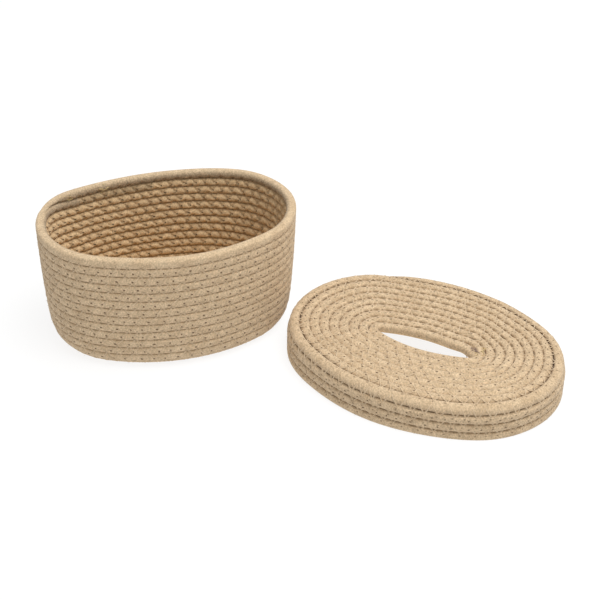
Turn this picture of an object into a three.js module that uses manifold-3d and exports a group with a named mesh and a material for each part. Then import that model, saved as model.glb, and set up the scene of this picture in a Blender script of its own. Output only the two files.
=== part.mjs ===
// An oval napkin basket and its lift-off lid, each coiled from one sewn cotton rope.
// The lid is taken off and lies beside the basket, with the napkin slot in its top.
// Millimetres, +Z up. The origin is on the underside, at the middle of the base coil's first straight length.

import * as THREE from 'three';
import { mergeVertices } from 'three/addons/utils/BufferGeometryUtils.js';
import Module from 'manifold-3d';

// Driving dimensions of the rope and the basket
const ropeDiameter = 9;
const basketLength = 235;
const basketWidth = 170;
const rimEndRadius = 73;
const wallTurns = 13;
const wallTaper = 6.5;
const baseBendRadius = 12;

// Driving dimensions of the lid, and where it lies
const lidTurns = 4;
const lidBendRadius = 12;
const lidClearance = 2;
const lidSag = 7.5;
const slotBulge = 8;
const lidShiftX = -11.6;
const lidShiftY = -79.8;
const lidTurnDegrees = -47;

// Clearances: between the facets of neighbouring turns, and where two lengths of one rope meet
const seamGap = 2.4;
const buttGap = 0.3;

// Steps of the rope round an oval, on each round end and on each long side
const endSteps = 5;
const sideSteps = 5;
const halfLoop = endSteps + sideSteps;
const stepsPerLoop = 2 * halfLoop;
const farSideMiddle = endSteps + sideSteps / 2;
const nearSideMiddle = farSideMiddle + halfLoop;

// A turn lies level and climbs to the next one within these steps
const climbSteps = 2;
const basketClimbStation = halfLoop + 1.5;
const lidClimbStation = farSideMiddle + 1;

// Sizes that follow from the driving dimensions
const ropeRadius = ropeDiameter / 2;
const facetReach = (ropeDiameter - seamGap) / 2;
const restFlat = ropeDiameter / 10;
const lengthOverWidth = (basketLength - basketWidth) / 2;
const sideBulge = basketWidth / 2 - rimEndRadius;
const basketHeight = wallTurns * ropeDiameter;
const rimOffset = basketWidth / 2 - ropeRadius;
const lidHeight = lidTurns * ropeDiameter;
const skirtOffset = basketWidth / 2 + lidClearance + ropeRadius;
const lidWidth = 2 * (skirtOffset + ropeRadius);
const lidLength = lidWidth + 2 * lengthOverWidth;
const slotOffset = slotBulge + ropeRadius;

const ropeMaterial = new THREE.MeshStandardMaterial({ color: '#c4a782', roughness: 0.95, metalness: 0 });
const rimMaterial = new THREE.MeshStandardMaterial({ color: '#cdb18c', roughness: 0.92, metalness: 0 });
const lidMaterial = new THREE.MeshStandardMaterial({ color: '#cbb08b', roughness: 0.95, metalness: 0 });

const wasm = await Module();
wasm.setup();

function toSolid(geometry) {
  const bare = geometry.clone();
  bare.deleteAttribute('normal');
  bare.deleteAttribute('uv');
  const merged = mergeVertices(bare);
  return new wasm.Manifold(new wasm.Mesh({
    numProp: 3,
    vertProperties: new Float32Array(merged.attributes.position.array),
    triVerts: new Uint32Array(merged.index.array),
  }));
}

function toGeometry(solid) {
  const mesh = solid.getMesh();
  const geometry = new THREE.BufferGeometry();
  geometry.setAttribute('position', new THREE.BufferAttribute(mesh.vertProperties, 3));
  geometry.setIndex(new THREE.BufferAttribute(mesh.triVerts, 1));
  geometry.computeVertexNormals();
  return geometry;
}

// A shell's section, along the middle of the rope: two straight runs joined by a bend.
// x is the offset from the long axis and y the height.
function bentProfile(start, corner, end, bendRadius) {
  const first = corner.clone().sub(start).normalize();
  const second = end.clone().sub(corner).normalize();
  const side = Math.sign(first.cross(second));
  const bendAngle = Math.acos(first.dot(second));
  const tangentLength = bendRadius * Math.tan(bendAngle / 2);
  const firstRun = corner.distanceTo(start) - tangentLength;
  const bendRun = bendRadius * bendAngle;
  const length = firstRun + bendRun + corner.distanceTo(end) - tangentLength;
  const bendStart = start.clone().addScaledVector(first, firstRun);
  const towardsCentre = new THREE.Vector2(-first.y, first.x).multiplyScalar(side);
  const bendCentre = bendStart.clone().addScaledVector(towardsCentre, bendRadius);

  function at(travel) {
    if (travel <= firstRun) {
      return { point: start.clone().addScaledVector(first, travel), direction: first };
    }
    const turned = Math.min((travel - firstRun) / bendRadius, bendAngle);
    const onBend = bendStart.clone().rotateAround(bendCentre, side * turned);
    const direction = first.clone().rotateAround(new THREE.Vector2(), side * turned);
    const pastBend = Math.max(travel - firstRun - bendRun, 0);
    return { point: onBend.addScaledVector(direction, pastBend), direction };
  }
  return { at, firstRun, length };
}

// A point and its outward direction on a four-arc oval. The round ends are arcs about a centre on the long
// axis, and each long side is one wide arc about a centre on the short axis. Stations run counter-clockwise.
function ovalPoint(halfLength, halfWidth, endRadius, station) {
  const endCentre = halfLength - endRadius;
  const bulge = halfWidth - endRadius;
  const sideCentre = (endCentre ** 2 - bulge ** 2) / (2 * bulge);
  const joinAngle = Math.atan2(sideCentre, endCentre);
  const loopStation = station % stepsPerLoop;
  const facing = loopStation < halfLoop ? 1 : -1;
  const step = loopStation % halfLoop;
  const onEnd = step <= endSteps;
  const endAngle = joinAngle * (2 * step / endSteps - 1);
  const sideAngle = joinAngle + (Math.PI - 2 * joinAngle) * (step - endSteps) / sideSteps;
  const angle = onEnd ? endAngle : sideAngle;
  const radius = onEnd ? endRadius : halfWidth + sideCentre;
  const centre = onEnd ? new THREE.Vector2(endCentre, 0) : new THREE.Vector2(0, -sideCentre);
  const outward = new THREE.Vector2(Math.cos(angle), Math.sin(angle));
  const point = centre.addScaledVector(outward, radius);
  return { point: point.multiplyScalar(facing), outward: outward.multiplyScalar(facing) };
}

// How far along its shell's section a rope has come at a station. The spiral is even where it starts, and
// its climb is drawn together more and more, so that the last turn lies level.
function travelAt(coil, station) {
  const loops = (station - coil.zeroStation) / stepsPerLoop;
  const sinceClimb = (station - coil.climbStation) / stepsPerLoop;
  const phase = sinceClimb - Math.floor(sinceClimb);
  const drawnTogether = Math.min(phase * stepsPerLoop / climbSteps, 1);
  const lastTurnStation = coil.endStation - stepsPerLoop;
  const share = Math.min((station - coil.startStation) / (lastTurnStation - coil.startStation), 1);
  const travel = coil.pitch * (loops + share * (drawnTogether - phase));
  return Math.min(travel, coil.profile.length);
}

// The rope's six-sided section at a whole station. Its flats face the neighbouring turns.
function sectionAt(coil, station) {
  const inCore = station < coil.coreEndStation;
  const travel = inCore ? coil.pitch / 2 : travelAt(coil, station);
  const sideStep = inCore ? coil.pitch / 4 : 0;
  const { point, direction } = coil.profile.at(travel);
  const halfWidth = point.x;
  const oval = ovalPoint(halfWidth + lengthOverWidth, halfWidth, halfWidth - coil.bulgeAt(halfWidth), station);
  const outward = new THREE.Vector3(oval.outward.x, oval.outward.y, 0);
  const up = new THREE.Vector3(0, 0, 1);
  const along = outward.clone().multiplyScalar(direction.x).addScaledVector(up, direction.y);
  const across = outward.clone().multiplyScalar(direction.y).addScaledVector(up, -direction.x);
  const middle = new THREE.Vector3(oval.point.x, oval.point.y + sideStep, point.y);
  const corners = [];
  for (let corner = 0; corner < 6; corner += 1) {
    const angle = Math.PI * (corner / 3 + 0.5);
    const alongReach = facetReach * Math.cos(angle) / Math.cos(Math.PI / 6);
    const acrossReach = ropeRadius * Math.sin(angle);
    corners.push(middle.clone().addScaledVector(along, alongReach).addScaledVector(across, acrossReach));
  }
  return corners;
}

function mixSections(first, second, share) {
  return first.map((corner, index) => corner.clone().lerp(second[index], share));
}

// A section in the straight stretch between two stations, moved along it by a small distance.
function cutSection(coil, station, distance) {
  const before = Math.floor(station);
  const first = sectionAt(coil, before);
  const second = sectionAt(coil, before + 1);
  const stretch = first[0].distanceTo(second[0]);
  return mixSections(first, second, station - before + distance / stretch);
}

// All sections of one length of rope. An end that meets another length stands back by half the butt gap.
function ropeSections(coil, from, to) {
  const setBackFrom = from > coil.startStation ? buttGap / 2 : 0;
  const setBackTo = to < coil.endStation ? buttGap / 2 : 0;
  const sections = [cutSection(coil, from, setBackFrom)];
  for (let station = Math.ceil(from); station <= Math.floor(to); station += 1) {
    sections.push(sectionAt(coil, station));
  }
  sections.push(cutSection(coil, to, -setBackTo));
  return sections;
}

// One unbroken closed tube through the sections.
function ropeGeometry(sections) {
  const sides = sections[0].length;
  const last = (sections.length - 1) * sides;
  const indices = [];
  for (let ring = 0; ring < last; ring += sides) {
    for (let side = 0; side < sides; side += 1) {
      const next = (side + 1) % sides;
      indices.push(ring + side, ring + next, ring + sides + side);
      indices.push(ring + next, ring + sides + next, ring + sides + side);
    }
  }
  for (let side = 1; side < sides - 1; side += 1) {
    indices.push(0, side + 1, side);
    indices.push(last, last + side, last + side + 1);
  }
  const geometry = new THREE.BufferGeometry().setFromPoints(sections.flat());
  geometry.setIndex(indices);
  geometry.computeVertexNormals();
  return geometry;
}

// The least gap between points of a rope's surface that are more than a third of a loop apart along it.
function leastGap(coil) {
  const sections = ropeSections(coil, coil.startStation, coil.endStation);
  const withMiddles = sections.flatMap((section, index) => {
    const following = sections[Math.min(index + 1, sections.length - 1)];
    return [section, mixSections(section, following, 0.5)];
  });
  const apart = Math.round(2 * stepsPerLoop / 3);
  let least = Infinity;
  withMiddles.forEach((section, index) => {
    for (const other of withMiddles.slice(index + apart)) {
      for (const corner of section) {
        for (const otherCorner of other) {
          least = Math.min(least, corner.distanceToSquared(otherCorner));
        }
      }
    }
  });
  return Math.sqrt(least);
}

// The first middle of a long side that a rope reaches after a given travel, as a place to part it.
function sideMiddleAfter(coil, travel, middle, between) {
  let station = middle;
  while (station < coil.startStation || travelAt(coil, station) < travel) {
    station += between;
  }
  return station;
}

function namedMesh(name, geometry, material) {
  const mesh = new THREE.Mesh(geometry, material);
  mesh.name = name;
  return mesh;
}

// The basket's rope: across the base, round the bend and up the leaning wall to the rim.
const baseHeight = ropeRadius - restFlat;
const basketProfile = bentProfile(
  new THREE.Vector2(0, baseHeight),
  new THREE.Vector2(rimOffset - wallTaper, baseHeight),
  new THREE.Vector2(rimOffset, basketHeight - ropeRadius),
  baseBendRadius,
);
const basketZeroStation = nearSideMiddle - stepsPerLoop / 4;
const basketLateStart = (basketZeroStation - basketClimbStation) / stepsPerLoop;
const basketLoops = Math.round(basketProfile.length / ropeDiameter + basketLateStart);
const basketCoil = {
  profile: basketProfile,
  zeroStation: basketZeroStation,
  climbStation: basketClimbStation,
  startStation: halfLoop + endSteps + 0.5,
  coreEndStation: farSideMiddle + stepsPerLoop,
  endStation: basketClimbStation + stepsPerLoop * basketLoops,
  pitch: basketProfile.length / (basketLoops - basketLateStart),
  bulgeAt: (offset) => sideBulge * offset / rimOffset,
};

// The lid's rope: from the slot across the sagging top, round the bend and down the skirt.
const lidProfile = bentProfile(
  new THREE.Vector2(slotOffset, lidHeight - ropeRadius - lidSag),
  new THREE.Vector2(skirtOffset, lidHeight - ropeRadius),
  new THREE.Vector2(skirtOffset, facetReach),
  lidBendRadius,
);
const lidEarlyStart = (lidClimbStation - endSteps) / stepsPerLoop;
const lidLoops = Math.round(lidProfile.length / ropeDiameter - lidEarlyStart);
const lidCoil = {
  profile: lidProfile,
  zeroStation: endSteps,
  climbStation: lidClimbStation,
  startStation: endSteps + 0.5,
  coreEndStation: 0,
  endStation: lidClimbStation + stepsPerLoop * lidLoops,
  pitch: lidProfile.length / (lidLoops + lidEarlyStart),
  bulgeAt: (offset) => THREE.MathUtils.mapLinear(offset, slotOffset, skirtOffset, slotBulge, sideBulge),
};

// The base coil is cut flat on the underside, and ends where the bend has lifted the rope off the table.
function basketBaseCoil(to) {
  const rope = toSolid(ropeGeometry(ropeSections(basketCoil, basketCoil.startStation, to)));
  const table = new THREE.BoxGeometry(2 * basketLength, 2 * basketWidth, 2 * ropeDiameter);
  table.translate(0, 0, -ropeDiameter);
  return toGeometry(rope.subtract(toSolid(table)));
}

const liftAngle = Math.acos((baseHeight + baseBendRadius) / (ropeRadius + baseBendRadius));
const liftTravel = basketProfile.firstRun + baseBendRadius * liftAngle;
const baseEndStation = sideMiddleAfter(basketCoil, liftTravel, nearSideMiddle, halfLoop);
const rimStartStation = farSideMiddle + stepsPerLoop * (basketLoops - 1);
const skirtStartStation = sideMiddleAfter(lidCoil, lidProfile.firstRun, farSideMiddle, stepsPerLoop);

const wallSections = ropeSections(basketCoil, baseEndStation, rimStartStation);
const rimSections = ropeSections(basketCoil, rimStartStation, basketCoil.endStation);
const topSections = ropeSections(lidCoil, lidCoil.startStation, skirtStartStation);
const skirtSections = ropeSections(lidCoil, skirtStartStation, lidCoil.endStation);

const basket = new THREE.Group();
basket.add(namedMesh('basket_base_coil', basketBaseCoil(baseEndStation), ropeMaterial));
basket.add(namedMesh('basket_wall_coil', ropeGeometry(wallSections), ropeMaterial));
basket.add(namedMesh('basket_rim_turn', ropeGeometry(rimSections), rimMaterial));

const lid = new THREE.Group();
const lidCentreX = (basketLength + lidWidth) / 2 + lidShiftX;
const lidCentreY = -(basketWidth + lidLength) / 2 - lidShiftY;
lid.position.set(lidCentreX, lidCentreY, 0);
lid.rotation.z = THREE.MathUtils.degToRad(lidTurnDegrees);
lid.add(namedMesh('lid_top_coil', ropeGeometry(topSections), lidMaterial));
lid.add(namedMesh('lid_skirt_coil', ropeGeometry(skirtSections), lidMaterial));

console.log(`basket rope: least gap to itself ${leastGap(basketCoil).toFixed(2)} mm`);
console.log(`lid rope: least gap to itself ${leastGap(lidCoil).toFixed(2)} mm`);

// The first straight length of the base coil lies a quarter of a turn's width beside the oval's centre.
const napkinBasket = new THREE.Group();
napkinBasket.position.set(0, basketCoil.pitch / 4, 0);
napkinBasket.add(basket, lid);

export default napkinBasket;
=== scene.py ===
"""An oval napkin basket and its lid, each coiled from one cotton rope and sewn turn to turn in zigzag."""

import math

import bmesh
import bpy
import numpy as np
from mathutils import Matrix, Vector


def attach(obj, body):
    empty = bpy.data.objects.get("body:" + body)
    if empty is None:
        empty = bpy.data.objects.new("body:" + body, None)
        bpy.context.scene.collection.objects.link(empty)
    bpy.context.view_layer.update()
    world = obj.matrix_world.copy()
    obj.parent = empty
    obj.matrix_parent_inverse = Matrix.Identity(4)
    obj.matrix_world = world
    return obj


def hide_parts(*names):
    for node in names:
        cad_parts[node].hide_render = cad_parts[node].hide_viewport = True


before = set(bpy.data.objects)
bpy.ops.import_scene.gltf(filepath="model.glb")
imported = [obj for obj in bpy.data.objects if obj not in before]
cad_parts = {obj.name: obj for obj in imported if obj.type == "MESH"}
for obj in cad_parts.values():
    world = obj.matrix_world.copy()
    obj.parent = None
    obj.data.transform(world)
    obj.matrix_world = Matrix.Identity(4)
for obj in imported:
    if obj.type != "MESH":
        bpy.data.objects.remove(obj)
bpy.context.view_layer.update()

MM = 0.001

# The ropes and their ovals, as in the solids
ROPE = 9 * MM
BASKET_LENGTH = 235 * MM
BASKET_WIDTH = 170 * MM
RIM_END_RADIUS = 73 * MM
WALL_TURNS = 13
WALL_TAPER = 6.5 * MM
BASE_BEND_RADIUS = 12 * MM
BASE_HEIGHT = 0.4 * ROPE
LID_TURNS = 4
LID_CLEARANCE = 2 * MM
LID_SAG = 7.5 * MM
SLOT_BULGE = 8 * MM
LID_SHIFT_X = -11.6 * MM
LID_SHIFT_Y = -79.8 * MM
LID_TURN = math.radians(-47)
FACET_REACH = 3.3 * MM
ORIGIN_SHIFT = 2.238 * MM

# Other than in the solids: more and narrower turns, and a sharper, lower corner on the lid
BASKET_MORE_TURNS = 2
LID_MORE_TURNS = 1
LID_BEND_RADIUS = 4.6 * MM
LID_CORNER_DROP = 2 * MM

# Stations round an oval: steps on each round end and on each long side
END_STEPS = 5
SIDE_STEPS = 5
HALF_LOOP = END_STEPS + SIDE_STEPS
LOOP = 2 * HALF_LOOP
FAR_SIDE_MIDDLE = END_STEPS + SIDE_STEPS / 2
NEAR_SIDE_MIDDLE = FAR_SIDE_MIDDLE + HALF_LOOP
STATION_STEP = 0.02
CLIMB_STEPS = 2
BASKET_CLIMB_STATION = HALF_LOOP - 0.2
LID_CLIMB_STATION = FAR_SIDE_MIDDLE + 1
BASKET_START = HALF_LOOP + END_STEPS + 0.5
LID_START = END_STEPS + 0.5
MOST_LOOPS = 100

# The oval nearest to a coil's axis, which may not shrink to nothing
LEAST_OFFSET = 0.01 * MM

# The ropes' ends: their starts run straight up to the turn round them,
# and their tails taper off as the turn below climbs
BASKET_LEAD_STEPS = 0.8
LID_LEAD_STEPS = 1.1
LEAD_PROBE = 0.01
TAIL_STEPS = 1.8
TAIL_THINNING = 0.4
END_ROUNDING = ROPE / 4

# How hand-guided turns stray from even ones: two waves round each turn, which drift from turn to turn
WAVER = 0.5 * MM
LONG_WAVES = 3
SHORT_WAVES = 7
WAVER_DRIFT = 4 * ROPE
WAVER_FULL_AT = 6 * ROPE

# How the soft pieces stand: the wall bellied, the far rim pushed in, and the slot a little aslant
BELLY = 1 * MM
BOTTOM_ROUNDING = 1.5 * MM
DENT_DEPTH = 9 * MM
DENT_X = -12 * MM
DENT_REACH = 68 * MM
DENT_CORNER_DEPTH = 2.5 * MM
DENT_CORNER_X = -103 * MM
DENT_CORNER_REACH = 25 * MM
SLOT_SLANT = 0.09
SLOT_END_LIFT = 6 * MM
SLOT_END_X = 38 * MM
SLOT_END_REACH = 12 * MM

# The zigzag seam: needle holes in the middle of the older turn, short reach into the newer one
STITCH_PERIOD = 11 * MM
STITCH_BELOW = 4.5 * MM
STITCH_ABOVE = 2 * MM
THREAD_RADIUS = 0.5 * MM
HOLE_DIP = 0.9 * MM
STITCH_STRAY = 1.4 * MM
STITCH_DRIFT = 17 * MM
SHORT_DRIFT_SHARE = 0.37
CREASE_WIDTH = 0.95 * MM
CREASE_END = 0.8 * MM
HOLE_DIP_SHARE = 0.125
THREAD_BEDDING = 0.35
THREAD_SPAN = 1.1 * MM
SAMPLES_PER_STITCH = 16
SIDES_ROUND_THREAD = 5

# The rope's section: full outside, rounder inside, and on the lid's top higher towards the slot
OUTSIDE_FULLNESS = 3.8
LID_FULLNESS = 2.4
LID_LEAN = 0.19
CORNER_SPLAY = 0.6
INSIDE_FULLNESS = 2.3
SIDES_ROUND_ROPE = 20
# GROOVE_SHARE: the share of the section beside each groove that gets painted shade in its colour
GROOVE_SHARE = 0.13
RINGS_PER_STITCH = 12
OUTSIDE_CREASE = 0.15 * MM
INSIDE_CREASE = 2.2 * MM
PRESSED_TOGETHER = 1.03
CORE_SPREAD = 1.4
BRIDGE_WIDTH = 1.1 * MM
BRIDGE_HEIGHT = 3.9 * MM
BRIDGE_SHARPNESS = 6
MERGE_DISTANCE = 0.0002 * MM

# The rope's finish. Real fuzz is finer than a millimetre, and its grain is drawn coarser here so that it shows
DYE_PATCH = 9 * MM
DYE_SHADE_AT = 0.3
DYE_LIGHT_AT = 0.7
INSIDE_TINT = "#fffbf0"
INSIDE_LIGHT = 0.16
INSIDE_FROM = 0.53
FUZZ_GRAIN = 1.5 * MM
SPECKLE_LOSS = 0.38
SPECKLE_GAIN = 0.2
BRAID_STEP = 2.4 * MM
BRAID_STRANDS = 8
# How much the braid's strands are lightened in colour: a painted highlight on their crowns, drawn with the
# braid's pattern
STRAND_PAINTED_HIGHLIGHT = 0.16
STRAND_RELIEF = 0.35
RELIEF = 0.5 * MM
FACE_SPREAD = 48 * MM
# Needle holes: their darker colour is painted shade in the recess, and HOLE_DEPTH sinks them in relief
HOLE_ROW = 0.25
FAR_HOLE_ROW = 0.3
FAR_HOLE_SHARE = 0.6
HOLE_STRAY = 3 * MM
HOLE_CORE = 0.5 * MM
HOLE_EDGE = 1.15 * MM
HOLE_DEPTH = 1.5
THREAD_PATCH = 6 * MM
COLOUR_MIX = {"data_type": "RGBA", "clamp_factor": True}

# Loose fibres: fine hairs all over, and frayed strands at the ropes' ends
FUZZ_LENGTH = 2.2 * MM
FUZZ_RADIUS = 0.07 * MM
FUZZ_ROOT = 0.3 * MM
FUZZ_SPREAD = 0.6
FRAY_LENGTH = 4.5 * MM
FRAY_RADIUS = 0.25 * MM
FRAY_SPREAD = 0.5
FRAY_PROBE = 0.1
FIBRE_BEND = 0.35
SHORTEST_FIBRE = 0.5
random = np.random.default_rng(7)

# Camera, matched to the photograph
CAMERA_TARGET = Vector((0.1253, 0.0005, 0))
CAMERA_AZIMUTH = math.radians(-16.7)
CAMERA_ELEVATION = math.radians(33.47)
CAMERA_ROLL = math.radians(0.92)
CAMERA_DISTANCE = 1.3515
CAMERA_LENS = 84

# The studio: a white table that glows a little, an even surround and one large lamp
FLOOR_REACH = 6
FLOOR_SHADE = 0.16
FLOOR_GLOW = 0.84
SURROUND_LIGHT = 0.5
LAMP_PLACE = Vector((0.5, -0.4, 1.8))
LAMP_SIZE = 1.6
LAMP_POWER = 33

# Sizes that follow
LENGTH_OVER_WIDTH = (BASKET_LENGTH - BASKET_WIDTH) / 2
SIDE_BULGE = BASKET_WIDTH / 2 - RIM_END_RADIUS
RIM_OFFSET = (BASKET_WIDTH - ROPE) / 2
LID_HEIGHT = LID_TURNS * ROPE
SKIRT_OFFSET = (BASKET_WIDTH + ROPE) / 2 + LID_CLEARANCE
SLOT_OFFSET = SLOT_BULGE + ROPE / 2
LID_WIDTH = 2 * SKIRT_OFFSET + ROPE
LID_LENGTH = LID_WIDTH + 2 * LENGTH_OVER_WIDTH


def smooth_step(share):
    share = np.clip(share, 0, 1)
    return share * share * (3 - 2 * share)


class BentProfile:
    """A shell's section along the middle of the rope: two straight runs joined by a bend."""

    def __init__(self, start, corner, end, radius):
        self.start, corner, end = (np.array(p, dtype=float) for p in (start, corner, end))
        self.first = (corner - self.start) / np.linalg.norm(corner - self.start)
        second = (end - corner) / np.linalg.norm(end - corner)
        self.side = np.sign(self.first[0] * second[1] - self.first[1] * second[0])
        self.bend = math.acos(self.first @ second)
        self.radius = radius
        tangent = radius * math.tan(self.bend / 2)
        self.first_run = np.linalg.norm(corner - self.start) - tangent
        self.length = self.first_run + radius * self.bend + np.linalg.norm(end - corner) - tangent

    def at(self, travel):
        """Offset, height and direction at each travel along the section."""
        start_angle = math.atan2(self.first[1], self.first[0])
        turned = np.clip((travel - self.first_run) / self.radius, 0, self.bend)
        angle = start_angle + self.side * turned
        on_first = np.minimum(travel, self.first_run)
        past_bend = np.maximum(travel - self.first_run - self.radius * self.bend, 0)
        run, rise = np.cos(angle), np.sin(angle)
        side_radius = self.side * self.radius
        x = self.start[0] + self.first[0] * on_first + side_radius * (rise - self.first[1]) + run * past_bend
        y = self.start[1] + self.first[1] * on_first - side_radius * (run - self.first[0]) + rise * past_bend
        return x, y, run, rise


def oval_point(half_width, bulge, station):
    """Points and outward directions on four-arc ovals. Stations run counter-clockwise from the right end."""
    end_radius = half_width - bulge
    end_centre = half_width + LENGTH_OVER_WIDTH - end_radius
    side_centre = (end_centre**2 - bulge**2) / (2 * bulge)
    join = np.arctan2(side_centre, end_centre)
    loop_station = station % LOOP
    facing = np.where(loop_station < HALF_LOOP, 1, -1)
    step = loop_station % HALF_LOOP
    on_end = step <= END_STEPS
    end_angle = join * (2 * step / END_STEPS - 1)
    side_angle = join + (np.pi - 2 * join) * (step - END_STEPS) / SIDE_STEPS
    angle = np.where(on_end, end_angle, side_angle)
    radius = np.where(on_end, end_radius, half_width + side_centre)
    x = np.where(on_end, end_centre, 0) + radius * np.cos(angle)
    y = np.where(on_end, 0, -side_centre) + radius * np.sin(angle)
    return facing * x, facing * y, facing * np.cos(angle), facing * np.sin(angle)


def waver(station, travel):
    """How far the turns of a coil stray from even ones, alike for neighbours and least near its start."""
    turn = 2 * np.pi * station / LOOP
    drift = travel / WAVER_DRIFT
    away = smooth_step(travel / WAVER_FULL_AT)
    return away * WAVER / 2 * (np.sin(LONG_WAVES * turn + drift) + np.sin(SHORT_WAVES * turn - 2 * drift + 1))


def soft_stand(x, y, z):
    """Where the soft basket's wall stands: bellied, round at the bottom, and pushed in at the far rim."""
    height_share = np.clip(z / (WALL_TURNS * ROPE), 0, 1)
    belly = BELLY * np.sin(np.pi * height_share) - BOTTOM_ROUNDING * np.exp(-(((z - ROPE) / ROPE) ** 2))
    swell = 1 + belly / (BASKET_WIDTH / 2)
    far_side = smooth_step(y / (BASKET_WIDTH / 4))
    middle = np.exp(-(((x - DENT_X) / DENT_REACH) ** 2))
    corner = np.exp(-(((x - DENT_CORNER_X) / DENT_CORNER_REACH) ** 2))
    dent = far_side * height_share * (DENT_CORNER_DEPTH * corner - DENT_DEPTH * middle)
    return x * swell, y * swell + dent


def slot_stand(x, y, z):
    """The lid with its slot turned a little against its outline, and blunt where the rope begins."""
    inward = np.clip(1 - np.hypot(x / (LID_LENGTH / 2), y / (LID_WIDTH / 2)), 0, 1)
    blunt = np.exp(-(((x - SLOT_END_X) / SLOT_END_REACH) ** 2)) * smooth_step(y / SLOT_END_REACH + 0.5)
    return x, y + inward * (SLOT_SLANT * x + SLOT_END_LIFT * blunt)


class Coil:
    """One rope: a spiral of stations whose travel along the shell's section grows by a pitch a loop."""

    def __init__(
        self,
        profile,
        zero,
        climb,
        start,
        core_end,
        outside,
        bulge_at,
        place,
        lead,
        tail,
        stand,
        more_turns,
        fullness,
        splays,
    ):
        self.profile = profile
        self.zero = zero
        self.climb = climb
        self.start = start
        self.core_end = core_end
        self.outside = outside
        self.bulge_at = bulge_at
        self.place = place
        self.lead = lead
        self.tail = tail
        self.stand = stand
        self.fullness = fullness
        self.splays = splays
        loops = round(profile.length / ROPE - (climb - zero) / LOOP) + more_turns
        self.end = climb + LOOP * loops
        self.pitch = profile.length / (loops + (climb - zero) / LOOP)
        self.stations = np.arange(start - lead, self.end + tail, STATION_STEP)
        path = self.point(self.stations, self.travel(self.stations), np.zeros_like(self.stations))[0]
        steps = np.linalg.norm(np.diff(path, axis=0), axis=1)
        even = np.concatenate([[0], np.cumsum(steps)])
        stray = np.sin(even / STITCH_DRIFT) + np.sin(even / (SHORT_DRIFT_SHARE * STITCH_DRIFT))
        self.lengths = even + STITCH_STRAY * stray

    def travel(self, station):
        """How far along the shell's section the rope lies. Each loop's climb is drawn into a few stations."""
        since_climb = (station - self.climb) / LOOP
        phase = since_climb - np.floor(since_climb)
        drawn_together = smooth_step(phase * LOOP / CLIMB_STEPS)
        share = np.clip((station - self.start) / (self.end - LOOP - self.start), 0, 1)
        travel = self.pitch * ((station - self.zero) / LOOP + share * (drawn_together - phase))
        travel = np.where(station < self.core_end, self.pitch / 2, travel)
        return np.minimum(travel, self.profile.length)

    def point(self, station, travel, height):
        """Points at a height over the middle of the shell, with the shell's outward direction there."""
        offset, z, run, rise = self.profile.at(travel + waver(station, travel))
        offset = np.maximum(offset, LEAST_OFFSET)
        bulge = self.bulge_at(offset)
        begun = np.maximum(station, self.start)
        x, y, out_x, out_y = oval_point(offset, bulge, begun)
        next_x, next_y = oval_point(offset, bulge, begun + LEAD_PROBE)[:2]
        probes_back = (station - begun) / LEAD_PROBE
        x, y = x + probes_back * (next_x - x), y + probes_back * (next_y - y)
        y = y + np.where(station < self.core_end, self.pitch / 4, 0)
        x, y = self.stand(x, y, z)
        outward = self.outside * np.stack([rise * out_x, rise * out_y, -run], axis=-1)
        return np.stack([x, y, z], axis=-1) + height[..., None] * outward, outward

    def in_row(self, points):
        """Points in the part's frame, with nothing below the table."""
        placed = points @ np.array(self.place.to_3x3()).T + np.array(self.place.translation)
        return np.maximum(placed, (-np.inf, -np.inf, 0))

    def half_width(self, station, upward):
        """Half of the way to the same place on the next turn, or enough to close the base's core."""
        other = np.where(upward, station + LOOP, station - LOOP)
        between = np.abs(self.travel(other) - self.travel(station)) / 2
        begun = np.minimum(station, other) >= max(self.start, self.core_end)
        joined = begun & (np.maximum(station, other) <= self.end)
        past_core = station - self.core_end
        in_core = 1 - smooth_step((past_core + FAR_SIDE_MIDDLE) / END_STEPS)
        beside_start = np.exp(-(((past_core - SIDE_STEPS / 2) / CLIMB_STEPS) ** 2))
        spread_out = (CORE_SPREAD - PRESSED_TOGETHER) * np.maximum(in_core, beside_start)
        return np.where(joined, between * PRESSED_TOGETHER, self.pitch / 2 * (PRESSED_TOGETHER + spread_out))

    def splayed(self, travel):
        """1 where the turns of a shell that bends outward part at its corner, and 0 away from there."""
        return self.splays * np.exp(-(((travel - self.profile.first_run) / (ROPE / 2)) ** 2))

    def lean(self, travel, across):
        """A factor of height, by which the turns of a shell that splays stand higher towards its middle."""
        before_corner = smooth_step((self.profile.first_run - travel) / ROPE)
        return 1 - self.splays * LID_LEAN * before_corner * across / (self.pitch / 2)

    def length_at(self, station):
        return np.interp(station, self.stations, self.lengths)

    def station_at(self, length):
        return np.interp(length, self.lengths, self.stations)


def make_basket_coil():
    profile = BentProfile(
        (0, BASE_HEIGHT),
        (RIM_OFFSET - WALL_TAPER, BASE_HEIGHT),
        (RIM_OFFSET, WALL_TURNS * ROPE - ROPE / 2),
        BASE_BEND_RADIUS,
    )
    return Coil(
        profile,
        zero=NEAR_SIDE_MIDDLE - LOOP / 4,
        climb=BASKET_CLIMB_STATION,
        start=BASKET_START,
        core_end=FAR_SIDE_MIDDLE + LOOP,
        outside=1,
        bulge_at=lambda offset: SIDE_BULGE * offset / RIM_OFFSET,
        place=Matrix.Identity(4),
        lead=BASKET_LEAD_STEPS,
        tail=TAIL_STEPS,
        stand=soft_stand,
        more_turns=BASKET_MORE_TURNS,
        fullness=OUTSIDE_FULLNESS,
        splays=False,
    )


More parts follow.
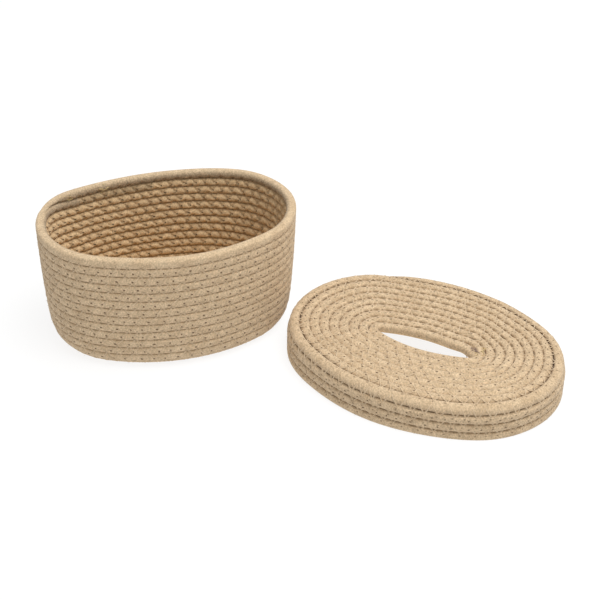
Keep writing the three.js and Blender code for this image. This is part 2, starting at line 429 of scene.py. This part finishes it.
def make_lid_coil():
    profile = BentProfile(
        (SLOT_OFFSET, LID_HEIGHT - ROPE / 2 - LID_SAG),
        (SKIRT_OFFSET, LID_HEIGHT - ROPE / 2 - LID_CORNER_DROP),
        (SKIRT_OFFSET, FACET_REACH),
        LID_BEND_RADIUS,
    )
    bulge_slope = (SIDE_BULGE - SLOT_BULGE) / (SKIRT_OFFSET - SLOT_OFFSET)
    centre_x = (BASKET_LENGTH + LID_WIDTH) / 2 + LID_SHIFT_X
    centre_y = -(BASKET_WIDTH + LID_LENGTH) / 2 - LID_SHIFT_Y
    return Coil(
        profile,
        zero=END_STEPS,
        climb=LID_CLIMB_STATION,
        start=LID_START,
        core_end=0,
        outside=-1,
        bulge_at=lambda offset: SLOT_BULGE + bulge_slope * (offset - SLOT_OFFSET),
        place=Matrix.Translation((centre_x, centre_y, 0)) @ Matrix.Rotation(LID_TURN, 4, "Z"),
        lead=LID_LEAD_STEPS,
        tail=TAIL_STEPS,
        stand=slot_stand,
        more_turns=LID_MORE_TURNS,
        fullness=LID_FULLNESS,
        splays=True,
    )


basket_coil = make_basket_coil()
lid_coil = make_lid_coil()
ORIGIN_STEP = Matrix.Translation((0, ORIGIN_SHIFT, 0))
basket_coil.place = ORIGIN_STEP @ basket_coil.place
lid_coil.place = ORIGIN_STEP @ lid_coil.place


def linear(hex_colour):
    """An sRGB hex colour as linear red, green, blue and alpha."""
    shares = [int(hex_colour[i : i + 2], 16) / 255 for i in (1, 3, 5)]
    return [c / 12.92 if c <= 0.04045 else ((c + 0.055) / 1.055) ** 2.4 for c in shares] + [1]


def add_node(tree, kind, links=None, **settings):
    """A node with its settings. links gives inputs, by name or number, a value or another node's output."""
    made = tree.nodes.new(kind)
    for name, value in settings.items():
        setattr(made, name, value)
    for key, value in (links or {}).items():
        if isinstance(value, bpy.types.NodeSocket):
            tree.links.new(value, made.inputs[key])
        else:
            made.inputs[key].default_value = value
    return made


def new_material(name, **principled):
    """A material with its node tree and its shader, whose inputs are named with underscores."""
    material = bpy.data.materials.new(name)
    material.use_nodes = True
    shader = material.node_tree.nodes["Principled BSDF"]
    for socket, value in principled.items():
        shader.inputs[socket.replace("_", " ")].default_value = value
    return material, material.node_tree, shader


def cotton_rope_material(name, shade_hex, light_hex, painted_shade_hex, grain, painted_inner_shade):
    """Braided cotton rope: dull, fuzzy and unevenly dyed, with painted shade in its needle holes and between
    its turns.
    """
    material, tree, shader = new_material(
        name, Roughness=0.95, IOR=1.45, Specular_IOR_Level=0.15, Sheen_Weight=0.1, Sheen_Roughness=0.7
    )
    place = add_node(tree, "ShaderNodeTexCoord")
    spot = place.outputs["Object"]
    uv = add_node(tree, "ShaderNodeSeparateXYZ", {0: place.outputs["UV"]})
    along, around = uv.outputs["X"], uv.outputs["Y"]
    strands = braid_strands(tree, along, around)
    dye_noise = add_node(tree, "ShaderNodeTexNoise", {"Vector": spot, "Scale": 1 / DYE_PATCH, "Detail": 4})
    dye = dye_noise.outputs["Fac"]
    fuzz_noise = add_node(tree, "ShaderNodeTexNoise", {"Vector": spot, "Scale": 1 / FUZZ_GRAIN, "Detail": 4})
    fuzz = fuzz_noise.outputs["Fac"]

    # Dye that took unevenly, with a slightly yellower inside
    colour = add_node(tree, "ShaderNodeValToRGB", {"Fac": dye})
    colour.color_ramp.elements[0].position = DYE_SHADE_AT
    colour.color_ramp.elements[0].color = linear(shade_hex)
    colour.color_ramp.elements[1].position = DYE_LIGHT_AT
    colour.color_ramp.elements[1].color = linear(light_hex)
    sewn = add_node(tree, "ShaderNodeAttribute", attribute_name="sewn").outputs["Fac"]
    inner = add_node(tree, "ShaderNodeMath", {0: around, 1: INSIDE_FROM}, operation="GREATER_THAN").outputs[0]
    inside = add_node(tree, "ShaderNodeMath", {0: inner, 1: sewn}, operation="MULTIPLY").outputs[0]
    tinted = add_node(
        tree,
        "ShaderNodeMix",
        {0: inside, 6: colour.outputs["Color"], 7: linear(INSIDE_TINT)},
        blend_type="MULTIPLY",
        **COLOUR_MIX,
    ).outputs[2]

    # Speckled fuzz and the braid's strands lightened as a painted highlight, lighter inside, and on the rim
    # painted shade where the rope turns in
    speckle = add_node(
        tree,
        "ShaderNodeMapRange",
        {
            "Value": fuzz,
            "From Min": 0.3,
            "From Max": 0.7,
            "To Min": 1 - SPECKLE_LOSS * grain,
            "To Max": 1 + SPECKLE_GAIN * grain,
        },
    ).outputs["Result"]
    speckle_and_strand_highlight = add_node(
        tree, "ShaderNodeMath", {0: strands, 1: STRAND_PAINTED_HIGHLIGHT, 2: speckle}, operation="MULTIPLY_ADD"
    ).outputs[0]
    lifted = add_node(
        tree, "ShaderNodeMath", {0: inside, 1: INSIDE_LIGHT, 2: speckle_and_strand_highlight}, operation="MULTIPLY_ADD"
    ).outputs[0]
    turned_in_painted_shade = add_node(
        tree,
        "ShaderNodeMapRange",
        {"Value": around, "From Min": 0.82, "From Max": 0.99, "To Min": painted_inner_shade, "To Max": 0},
    ).outputs["Result"]
    rim_painted_shade = add_node(tree, "ShaderNodeMath", {0: turned_in_painted_shade, 1: inner}, operation="MULTIPLY").outputs[0]
    kept = add_node(tree, "ShaderNodeMath", {0: lifted, 1: rim_painted_shade}, operation="SUBTRACT").outputs[0]
    speckled = add_node(
        tree, "ShaderNodeVectorMath", {0: tinted, "Scale": kept}, operation="SCALE"
    ).outputs["Vector"]

    # Painted shade in the needle holes, of this turn's seam and of the one below, and uneven painted shade in
    # the grooves
    below = add_node(tree, "ShaderNodeAttribute", attribute_name="below").outputs["Fac"]
    hole = needle_holes(tree, along, around, dye, HOLE_ROW, "sewn")
    turned = add_node(tree, "ShaderNodeMath", {0: below, 1: STITCH_PERIOD / 2}, operation="ADD").outputs[0]
    far_hole = needle_holes(tree, turned, around, dye, FAR_HOLE_ROW, "sewn_below")
    holes = add_node(
        tree, "ShaderNodeMath", {0: far_hole, 1: FAR_HOLE_SHARE, 2: hole}, operation="MULTIPLY_ADD"
    ).outputs[0]
    uneven = add_node(
        tree,
        "ShaderNodeMapRange",
        {"Value": fuzz, "From Min": 0.35, "From Max": 0.6, "To Min": 0.65, "To Max": 1.1},
    ).outputs["Result"]
    hole_painted_shade = add_node(tree, "ShaderNodeMath", {0: holes, 1: uneven}, operation="MULTIPLY").outputs[0]
    groove = add_node(tree, "ShaderNodeAttribute", attribute_name="groove").outputs["Fac"]
    closed = add_node(
        tree,
        "ShaderNodeMapRange",
        {"Value": dye, "From Min": 0.38, "From Max": 0.62, "To Min": 0.3, "To Max": 1.15},
    ).outputs["Result"]
    painted_shade = add_node(
        tree, "ShaderNodeMath", {0: groove, 1: closed, 2: hole_painted_shade}, operation="MULTIPLY_ADD"
    ).outputs[0]
    final = add_node(
        tree, "ShaderNodeMix", {0: painted_shade, 6: speckled, 7: linear(painted_shade_hex)}, blend_type="MIX", **COLOUR_MIX
    ).outputs[2]
    tree.links.new(final, shader.inputs["Base Color"])

    # Relief of strands and fuzz, sunk in the holes
    height = add_node(
        tree, "ShaderNodeMath", {0: strands, 1: STRAND_RELIEF, 2: fuzz}, operation="MULTIPLY_ADD"
    ).outputs[0]
    sunk = add_node(
        tree, "ShaderNodeMath", {0: holes, 1: -HOLE_DEPTH, 2: height}, operation="MULTIPLY_ADD"
    ).outputs[0]
    bump = add_node(tree, "ShaderNodeBump", {"Height": sunk, "Strength": 0.8, "Distance": RELIEF})
    tree.links.new(bump.outputs["Normal"], shader.inputs["Normal"])
    return material


def needle_holes(tree, along, around, stray, row, sewn_mark):
    """1 in the needle holes of one seam, in a row at a share round the rope, and 0 elsewhere."""
    strayed = add_node(tree, "ShaderNodeMath", {0: stray, 1: HOLE_STRAY, 2: along}, operation="MULTIPLY_ADD")
    beside = add_node(
        tree, "ShaderNodeMath", {0: strayed.outputs[0], 1: STITCH_PERIOD / 2}, operation="PINGPONG"
    )
    folded = add_node(tree, "ShaderNodeMath", {0: around, 1: 0.5}, operation="PINGPONG")
    off_row = add_node(tree, "ShaderNodeMath", {0: folded.outputs[0], 1: row}, operation="SUBTRACT")
    across = add_node(tree, "ShaderNodeMath", {0: off_row.outputs[0], 1: FACE_SPREAD}, operation="MULTIPLY")
    offset = add_node(tree, "ShaderNodeCombineXYZ", {0: beside.outputs[0], 1: across.outputs[0]})
    distance = add_node(tree, "ShaderNodeVectorMath", {0: offset.outputs[0]}, operation="LENGTH")
    hole = add_node(
        tree,
        "ShaderNodeMapRange",
        {
            "Value": distance.outputs["Value"],
            "From Min": HOLE_CORE,
            "From Max": HOLE_EDGE,
            "To Min": 1,
            "To Max": 0,
        },
        interpolation_type="SMOOTHSTEP",
    )
    sewn = add_node(tree, "ShaderNodeAttribute", attribute_name=sewn_mark)
    return add_node(
        tree, "ShaderNodeMath", {0: hole.outputs["Result"], 1: sewn.outputs["Fac"]}, operation="MULTIPLY"
    ).outputs[0]


def braid_strands(tree, along, around):
    """The fine diagonals of the braid, from 0 to 1: strands that cross the rope's length at a slant."""
    lay = add_node(tree, "ShaderNodeMath", {0: around, 1: BRAID_STRANDS}, operation="MULTIPLY")
    turned = add_node(
        tree, "ShaderNodeMath", {0: along, 1: 1 / BRAID_STEP, 2: lay.outputs[0]}, operation="MULTIPLY_ADD"
    )
    return add_node(tree, "ShaderNodeMath", {0: turned.outputs[0], 1: 0.5}, operation="PINGPONG").outputs[0]


def thread_material(name, shade_hex, light_hex):
    """Spun thread or loose cotton fibre, in two uneven shades."""
    material, tree, shader = new_material(name, Roughness=0.8, IOR=1.46, Sheen_Weight=0.2)
    place = add_node(tree, "ShaderNodeTexCoord")
    uneven = add_node(
        tree, "ShaderNodeTexNoise", {"Vector": place.outputs["Object"], "Scale": 1 / THREAD_PATCH, "Detail": 2}
    )
    colour = add_node(tree, "ShaderNodeValToRGB", {"Fac": uneven.outputs["Fac"]})
    colour.color_ramp.elements[0].color = linear(shade_hex)
    colour.color_ramp.elements[1].color = linear(light_hex)
    tree.links.new(colour.outputs["Color"], shader.inputs["Base Color"])
    return material


def rolled_grid(name, rings, sides, place_points, length_span, marks_at=None):
    """A grid rolled into a tube. place_points takes each point's shares of rings and sides, from 0 to 1."""
    bm = bmesh.new()
    bm.loops.layers.uv.new("UVMap")
    bmesh.ops.create_grid(bm, x_segments=rings, y_segments=sides, size=0.5, calc_uvs=True)
    mesh = bpy.data.meshes.new(name)
    bm.to_mesh(mesh)
    flat = np.empty(3 * len(mesh.vertices))
    mesh.vertices.foreach_get("co", flat)
    flat = flat.reshape(-1, 3) + 0.5
    points = place_points(flat[:, 0], flat[:, 1])
    mesh.vertices.foreach_set("co", points.astype(np.float32).ravel())
    marks = marks_at(flat[:, 0], flat[:, 1]) if marks_at else {}
    for mark, values in marks.items():
        attribute = mesh.attributes.new(mark, "FLOAT", "POINT")
        attribute.data.foreach_set("value", values.astype(np.float32))
    layer = mesh.uv_layers["UVMap"].uv
    uv = np.empty(2 * len(layer))
    layer.foreach_get("vector", uv)
    uv = uv.reshape(-1, 2)
    uv[:, 0] = length_span[0] + uv[:, 0] * (length_span[1] - length_span[0])
    layer.foreach_set("vector", uv.astype(np.float32).ravel())
    bm.clear()
    bm.from_mesh(mesh)
    bmesh.ops.remove_doubles(bm, verts=bm.verts, dist=MERGE_DISTANCE)
    bmesh.ops.holes_fill(bm, edges=[edge for edge in bm.edges if edge.is_boundary], sides=0)
    bmesh.ops.recalc_face_normals(bm, faces=bm.faces)
    bm.to_mesh(mesh)
    bm.free()
    mesh.shade_smooth()
    piece = bpy.data.objects.new(name, mesh)
    bpy.context.scene.collection.objects.link(piece)
    return piece


def section_height(across, half, fullness):
    """How high a turn's surface stands at a distance from its middle line."""
    share = np.clip(np.abs(across) / half, 0, 1)
    return ROPE / 2 * (1 - share**fullness) ** (1 / fullness)


def stitch_crease(length, above_groove):
    """1 on the zigzag thread's legs and 0 away from them, beside one seam."""
    rise = (above_groove + STITCH_BELOW) / (STITCH_ABOVE + STITCH_BELOW)
    phase = (length / STITCH_PERIOD + 0.5) % 1 - 0.5
    beside_leg = (np.abs(phase) - np.clip(rise, 0, 1) / 2) * STITCH_PERIOD
    past_leg = np.maximum(np.maximum(-rise, rise - 1), 0) * (STITCH_ABOVE + STITCH_BELOW)
    return np.exp(-((beside_leg / CREASE_WIDTH) ** 2) - (past_leg / CREASE_END) ** 2)


def thread_crossing(length):
    """1 where the zigzag's legs cross the groove between two turns, and 0 away from there."""
    crossing = STITCH_PERIOD / 2 * STITCH_BELOW / (STITCH_ABOVE + STITCH_BELOW)
    from_hole = np.abs((length / STITCH_PERIOD + 0.5) % 1 - 0.5) * STITCH_PERIOD
    return np.exp(-(((from_hole - crossing) / BRIDGE_WIDTH) ** 2))


def rope_piece(name, coil, from_station, to_station, material, free_start=False, free_end=False):
    """One length of the rope, pressed full between its neighbours and drawn in by the stitches."""
    low, high = coil.length_at(np.array([from_station, to_station]))
    rings = round((high - low) / STITCH_PERIOD * RINGS_PER_STITCH)

    def station_of(ring_share):
        return coil.station_at(low + ring_share * (high - low))

    def sewn_at(station):
        return station < coil.end - LOOP, station > max(coil.core_end, coil.start) + LOOP

    def crossing_at(station, upward):
        above = thread_crossing(coil.length_at(station))
        below = thread_crossing(coil.length_at(station - LOOP))
        sewn_above, sewn_below = sewn_at(station)
        return np.where(upward, above * sewn_above, below * sewn_below) * (1 - splayed_at(station, upward))

    def splayed_at(station, upward):
        return coil.splayed(coil.travel(station) + coil.pitch / 2 * np.where(upward, 1, -1))

    def marks_at(ring_share, side_share):
        station = station_of(ring_share)
        sewn_above, sewn_below = sewn_at(station)
        upward = np.cos(2 * np.pi * side_share) > 0
        from_groove = np.abs((2 * side_share + 0.5) % 1 - 0.5) / 2
        # The groove mark sets where painted shade darkens the groove between turns: less where the thread
        # bridges it, more at the lid's splayed corner
        groove = np.clip(1 - from_groove / GROOVE_SHARE, 0, 1) * np.where(upward, sewn_above, sewn_below)
        return {
            "sewn": sewn_above * (1 - splayed_at(station, False)),
            "sewn_below": sewn_below,
            "below": coil.length_at(station - LOOP),
            "groove": groove * (1 - crossing_at(station, upward)) * (1 + splayed_at(station, upward)),
        }

    def place_points(ring_share, side_share):
        length = low + ring_share * (high - low)
        station = station_of(ring_share)
        angle = 2 * np.pi * side_share
        outside = np.sin(angle) > 0
        upward = np.cos(angle) > 0
        full = coil.fullness - CORNER_SPLAY * splayed_at(station, upward)
        fullness = np.where(outside, full, INSIDE_FULLNESS)
        half = coil.half_width(station, upward)
        across = half * np.sign(np.cos(angle)) * np.abs(np.cos(angle)) ** (2 / fullness)
        height = ROPE / 2 * np.sign(np.sin(angle)) * np.abs(np.sin(angle)) ** (2 / fullness)
        height = np.where(outside, height * coil.lean(coil.travel(station), across), height)
        length_below = coil.length_at(station - LOOP)
        sewn_above, sewn_below = sewn_at(station)
        crease = stitch_crease(length, across - half) * sewn_above
        crease += stitch_crease(length_below, across + half) * sewn_below
        depth = np.where(outside, OUTSIDE_CREASE, INSIDE_CREASE)
        height *= 1 - depth / (ROPE / 2) * np.clip(crease, 0, 1)
        crossing = crossing_at(station, upward)
        beside_groove = np.clip(np.abs(across) / half, 0, 1) ** BRIDGE_SHARPNESS
        at_groove = crossing * beside_groove * (np.sin(angle) > -0.01)
        height += at_groove * np.maximum(BRIDGE_HEIGHT - height, 0)
        if free_end:
            tapered = smooth_step((station - coil.end) / CLIMB_STEPS)
            across = across + (coil.pitch / 2 - across) * tapered
            height = height * (1 - TAIL_THINNING * tapered)
        from_end = np.full_like(length, np.inf)
        if free_start:
            from_end = np.minimum(from_end, length - low)
        if free_end:
            from_end = np.minimum(from_end, high - length)
        rounding = np.clip(from_end / END_ROUNDING, 0, 1)
        rounding = np.sqrt(1 - (1 - rounding) ** 2)
        points = coil.point(station, coil.travel(station) + across * rounding, height * rounding)[0]
        return coil.in_row(points)

    piece = rolled_grid(name, rings, SIDES_ROUND_ROPE, place_points, (low, high), marks_at)
    piece.data.materials.append(material)
    return piece


def seam_piece(name, coil, face, material):
    """The zigzag thread of a whole seam, on one face of the shell: 1 is the outside and -1 the inside."""
    first = coil.length_at(np.array([max(coil.start, coil.core_end)]))[0]
    last = coil.length_at(np.array([coil.end - LOOP]))[0]
    begin, finish = math.ceil(first / STITCH_PERIOD), math.floor(last / STITCH_PERIOD)
    count = (finish - begin) * SAMPLES_PER_STITCH
    fullness = coil.fullness if face > 0 else INSIDE_FULLNESS
    length = np.linspace(begin, finish, count + 1) * STITCH_PERIOD
    station = coil.station_at(length)
    groove = (coil.travel(station) + coil.travel(station + LOOP)) / 2
    share = 1 - np.abs(2 * (length / STITCH_PERIOD % 1) - 1)
    above = -STITCH_BELOW + share * (STITCH_ABOVE + STITCH_BELOW)
    half = coil.pitch / 2
    from_middle = np.where(above < 0, above + half, half - above)
    surface = section_height(from_middle, half, fullness)
    if face > 0:
        surface = surface * coil.lean(groove + above, np.where(above < 0, from_middle, -from_middle))
    bridge = section_height(np.full(1, half - THREAD_SPAN), half, fullness)[0]
    crease = OUTSIDE_CREASE if face > 0 else INSIDE_CREASE
    at_end = np.clip(1 - np.minimum(share, 1 - share) / HOLE_DIP_SHARE, 0, 1)
    height = np.maximum(surface, bridge) - crease - THREAD_RADIUS * THREAD_BEDDING - HOLE_DIP * at_end
    middle, outward = coil.point(station, groove + above, face * height)
    outward = face * outward
    tangent = np.gradient(middle, axis=0)
    tangent /= np.linalg.norm(tangent, axis=1, keepdims=True)
    sideways = np.cross(tangent, outward)
    sideways /= np.linalg.norm(sideways, axis=1, keepdims=True)
    upright = np.cross(sideways, tangent)

    def place_points(ring_share, side_share):
        ring = np.rint(ring_share * count).astype(int)
        angle = 2 * np.pi * side_share[:, None]
        around = np.cos(angle) * sideways[ring] + np.sin(angle) * upright[ring]
        return coil.in_row(middle[ring] + THREAD_RADIUS * around)

    piece = rolled_grid(name, count, SIDES_ROUND_THREAD, place_points, (length[0], length[-1]))
    piece.data.materials.append(material)
    return piece


def fibres_piece(name, roots, directions, reaches, radius, material):
    """Short bent fibres in one curve. Each runs from its root, first along its direction and then astray."""
    curve = bpy.data.curves.new(name, "CURVE")
    curve.dimensions = "3D"
    curve.bevel_depth = radius
    curve.bevel_resolution = 0
    astray = random.normal(scale=FIBRE_BEND, size=roots.shape)
    middles = roots + directions * reaches[:, None] / 2
    tips = middles + (directions + astray) * reaches[:, None] / 2
    for path in np.stack([roots, middles, tips], axis=1):
        spline = curve.splines.new("POLY")
        spline.points.add(len(path) - 1)
        lifted = np.maximum(path, (-np.inf, -np.inf, radius))
        spline.points.foreach_set("co", np.column_stack([lifted, np.ones(len(path))]).ravel())
    curve.materials.append(material)
    piece = bpy.data.objects.new(name, curve)
    bpy.context.scene.collection.objects.link(piece)
    return piece


def spread(directions, amount):
    """Directions turned aside at random, at unit length."""
    turned = directions + random.normal(scale=amount, size=directions.shape)
    return turned / np.linalg.norm(turned, axis=1, keepdims=True)


def fuzz_piece(name, coil, count, material):
    """Fine hairs that stand out from the outside of a whole rope."""
    station = coil.station_at(random.uniform(0, coil.lengths[-1], count))
    angle = random.uniform(0.1, 0.9, count) * np.pi
    half = coil.half_width(station, np.cos(angle) > 0)
    across = half * np.sign(np.cos(angle)) * np.abs(np.cos(angle)) ** (2 / coil.fullness)
    travel = coil.travel(station)
    surface = ROPE / 2 * np.sin(angle) ** (2 / coil.fullness) * coil.lean(travel, across)
    roots, outward = coil.point(station, travel + across, surface - FUZZ_ROOT)
    turn = np.array(coil.place.to_3x3()).T
    reaches = random.uniform(SHORTEST_FIBRE, 1, count) * FUZZ_LENGTH
    directions = spread(outward @ turn, FUZZ_SPREAD)
    return fibres_piece(name, coil.in_row(roots), directions, reaches, FUZZ_RADIUS, material)


def fray_piece(name, coil, stations, share, count, back, material):
    """Loose ends of strands over some stations of a rope. back is 1 where they point back, and -1 ahead."""
    station = random.uniform(*stations, count)
    angle = random.uniform(0, 2 * np.pi, count)
    across = share * coil.pitch / 2 * np.cos(angle)
    height = share * ROPE / 2 * np.sin(angle)
    travel = coil.travel(station)
    roots = coil.in_row(coil.point(station, travel + across, height)[0])
    ahead = coil.in_row(coil.point(station - back * FRAY_PROBE, travel + across, height)[0])
    reaches = random.uniform(SHORTEST_FIBRE, 1, count) * FRAY_LENGTH
    directions = spread((ahead - roots) / MM, FRAY_SPREAD)
    return fibres_piece(name, roots, directions, reaches, FRAY_RADIUS, material)


def side_middle_after(coil, travel, middle, between):
    """The first middle of a long side that a rope reaches after a given travel."""
    stations = middle + between * np.arange(MOST_LOOPS)
    reached = (stations >= coil.start) & (coil.travel(stations) >= travel)
    return stations[np.argmax(reached)]


# Each rope's deepest brown is the painted shade of its grooves and needle holes
rope_finish = cotton_rope_material(
    "braided_cotton_rope",
    shade_hex="#c1a785",
    light_hex="#d3ba98",
    painted_shade_hex="#5e4226",
    grain=0.95,
    painted_inner_shade=0,
)
# The rim's rope also gets painted shade on its inward face, where the basket's hollow shades it
rim_finish = cotton_rope_material(
    "smooth_cotton_rope",
    shade_hex="#c3a987",
    light_hex="#d1b997",
    painted_shade_hex="#5e4226",
    grain=0.85,
    painted_inner_shade=0.3,
)
thread_finish = thread_material("sewing_thread", "#b79c79", "#dcc7a8")

# Where the basket's rope leaves the table, and the stations at which base, wall, rim, top and skirt meet
lift_angle = math.acos((BASE_HEIGHT + BASE_BEND_RADIUS) / (ROPE / 2 + BASE_BEND_RADIUS))
lift_travel = basket_coil.profile.first_run + BASE_BEND_RADIUS * lift_angle
base_end = side_middle_after(basket_coil, lift_travel, NEAR_SIDE_MIDDLE, HALF_LOOP)
rim_start = basket_coil.end - BASKET_CLIMB_STATION + FAR_SIDE_MIDDLE - LOOP
wall_half = base_end + LOOP * round((rim_start - base_end) / 2 / LOOP)
skirt_start = side_middle_after(lid_coil, lid_coil.profile.first_run, FAR_SIDE_MIDDLE, LOOP)

rope_plan = [
    ("base_rope", basket_coil, basket_coil.start - basket_coil.lead, base_end, "basket_base_coil", "basket"),
    ("lower_wall_rope", basket_coil, base_end, wall_half, "basket_wall_coil", "basket"),
    ("upper_wall_rope", basket_coil, wall_half, rim_start, "basket_wall_coil", "basket"),
    ("rim_rope", basket_coil, rim_start, basket_coil.end + basket_coil.tail, "basket_rim_turn", "basket"),
    ("lid_top_rope", lid_coil, lid_coil.start - lid_coil.lead, skirt_start, "lid_top_coil", "lid"),
    ("lid_skirt_rope", lid_coil, skirt_start, lid_coil.end + lid_coil.tail, "lid_skirt_coil", "lid"),
]
for name, coil, from_station, to_station, node, body in rope_plan:
    free_start, free_end = from_station <= coil.start, to_station >= coil.end
    finish = rim_finish if name == "rim_rope" else rope_finish
    rope = rope_piece(name, coil, from_station, to_station, finish, free_start, free_end)
    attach(rope, body)
    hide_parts(node)

for body, coil in (("basket", basket_coil), ("lid", lid_coil)):
    for side, face in (("outside", 1), ("inside", -1)):
        seam = seam_piece(f"{body}_{side}_stitches", coil, face, thread_finish)
        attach(seam, body)

hair_finish = thread_material("loose_hairs", "#c9b08d", "#dcc7a8")
pale_fray = thread_material("pale_fray", "#c9ad6a", "#e3cf98")
dark_fray = thread_material("dark_fray", "#7d6458", "#a58b7b")
slot_end = (lid_coil.start - 0.7 * lid_coil.lead, lid_coil.start - 0.3 * lid_coil.lead)
round_slot_end = (lid_coil.start + LOOP - 3, lid_coil.start + LOOP - 0.5)
rim_tail = (basket_coil.end - 1.2, basket_coil.end + 0.5 * basket_coil.tail)
loose_plan = [
    (fuzz_piece("basket_hairs", basket_coil, 2600, hair_finish), "basket"),
    (fuzz_piece("lid_hairs", lid_coil, 1500, hair_finish), "lid"),
    (fray_piece("slot_pale_fray", lid_coil, round_slot_end, 1.02, 70, 1, pale_fray), "lid"),
    (fray_piece("slot_dark_fray", lid_coil, slot_end, 1.05, 70, 1, dark_fray), "lid"),
    (fray_piece("rim_pale_fray", basket_coil, rim_tail, 1, 40, -1, pale_fray), "basket"),
]
for fibres, body in loose_plan:
    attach(fibres, body)


def aimed(place, target):
    """Where a lamp or camera stands that looks at a target."""
    direction = Vector(target) - Vector(place)
    return Matrix.Translation(place) @ direction.to_track_quat("-Z", "Y").to_matrix().to_4x4()


def studio():
    """A white table and a large soft light, with the camera where the photograph was taken."""
    bm = bmesh.new()
    bmesh.ops.create_grid(bm, x_segments=1, y_segments=1, size=FLOOR_REACH)
    floor_mesh = bpy.data.meshes.new("floor")
    bm.to_mesh(floor_mesh)
    bm.free()
    floor = bpy.data.objects.new("floor", floor_mesh)
    bpy.context.scene.collection.objects.link(floor)
    paint, _, shader = new_material("pale_floor", Roughness=0.9, Emission_Strength=FLOOR_GLOW)
    shader.inputs["Base Color"].default_value = (FLOOR_SHADE, FLOOR_SHADE, FLOOR_SHADE, 1)
    shader.inputs["Emission Color"].default_value = (1, 1, 1, 1)
    floor_mesh.materials.append(paint)

    world = bpy.data.worlds.new("studio")
    world.use_nodes = True
    surround = world.node_tree.nodes["Background"]
    surround.inputs["Color"].default_value = (1, 1, 1, 1)
    surround.inputs["Strength"].default_value = SURROUND_LIGHT
    bpy.context.scene.world = world

    lamp_data = bpy.data.lights.new("overhead", "AREA")
    lamp_data.shape = "DISK"
    lamp_data.size = LAMP_SIZE
    lamp_data.energy = LAMP_POWER
    lamp = bpy.data.objects.new("overhead", lamp_data)
    lamp.matrix_world = aimed(LAMP_PLACE, CAMERA_TARGET)
    bpy.context.scene.collection.objects.link(lamp)

    camera_data = bpy.data.cameras.new("camera")
    camera_data.lens = CAMERA_LENS
    camera = bpy.data.objects.new("camera", camera_data)
    level = math.cos(CAMERA_ELEVATION)
    back_x = math.sin(CAMERA_AZIMUTH) * level
    back_y = -math.cos(CAMERA_AZIMUTH) * level
    back = Vector((back_x, back_y, math.sin(CAMERA_ELEVATION)))
    aim = aimed(CAMERA_TARGET + CAMERA_DISTANCE * back, CAMERA_TARGET)
    camera.matrix_world = aim @ Matrix.Rotation(CAMERA_ROLL, 4, "Z")
    bpy.context.scene.collection.objects.link(camera)
    bpy.context.scene.camera = camera
    bpy.context.scene.view_settings.view_transform = "Standard"


studio()
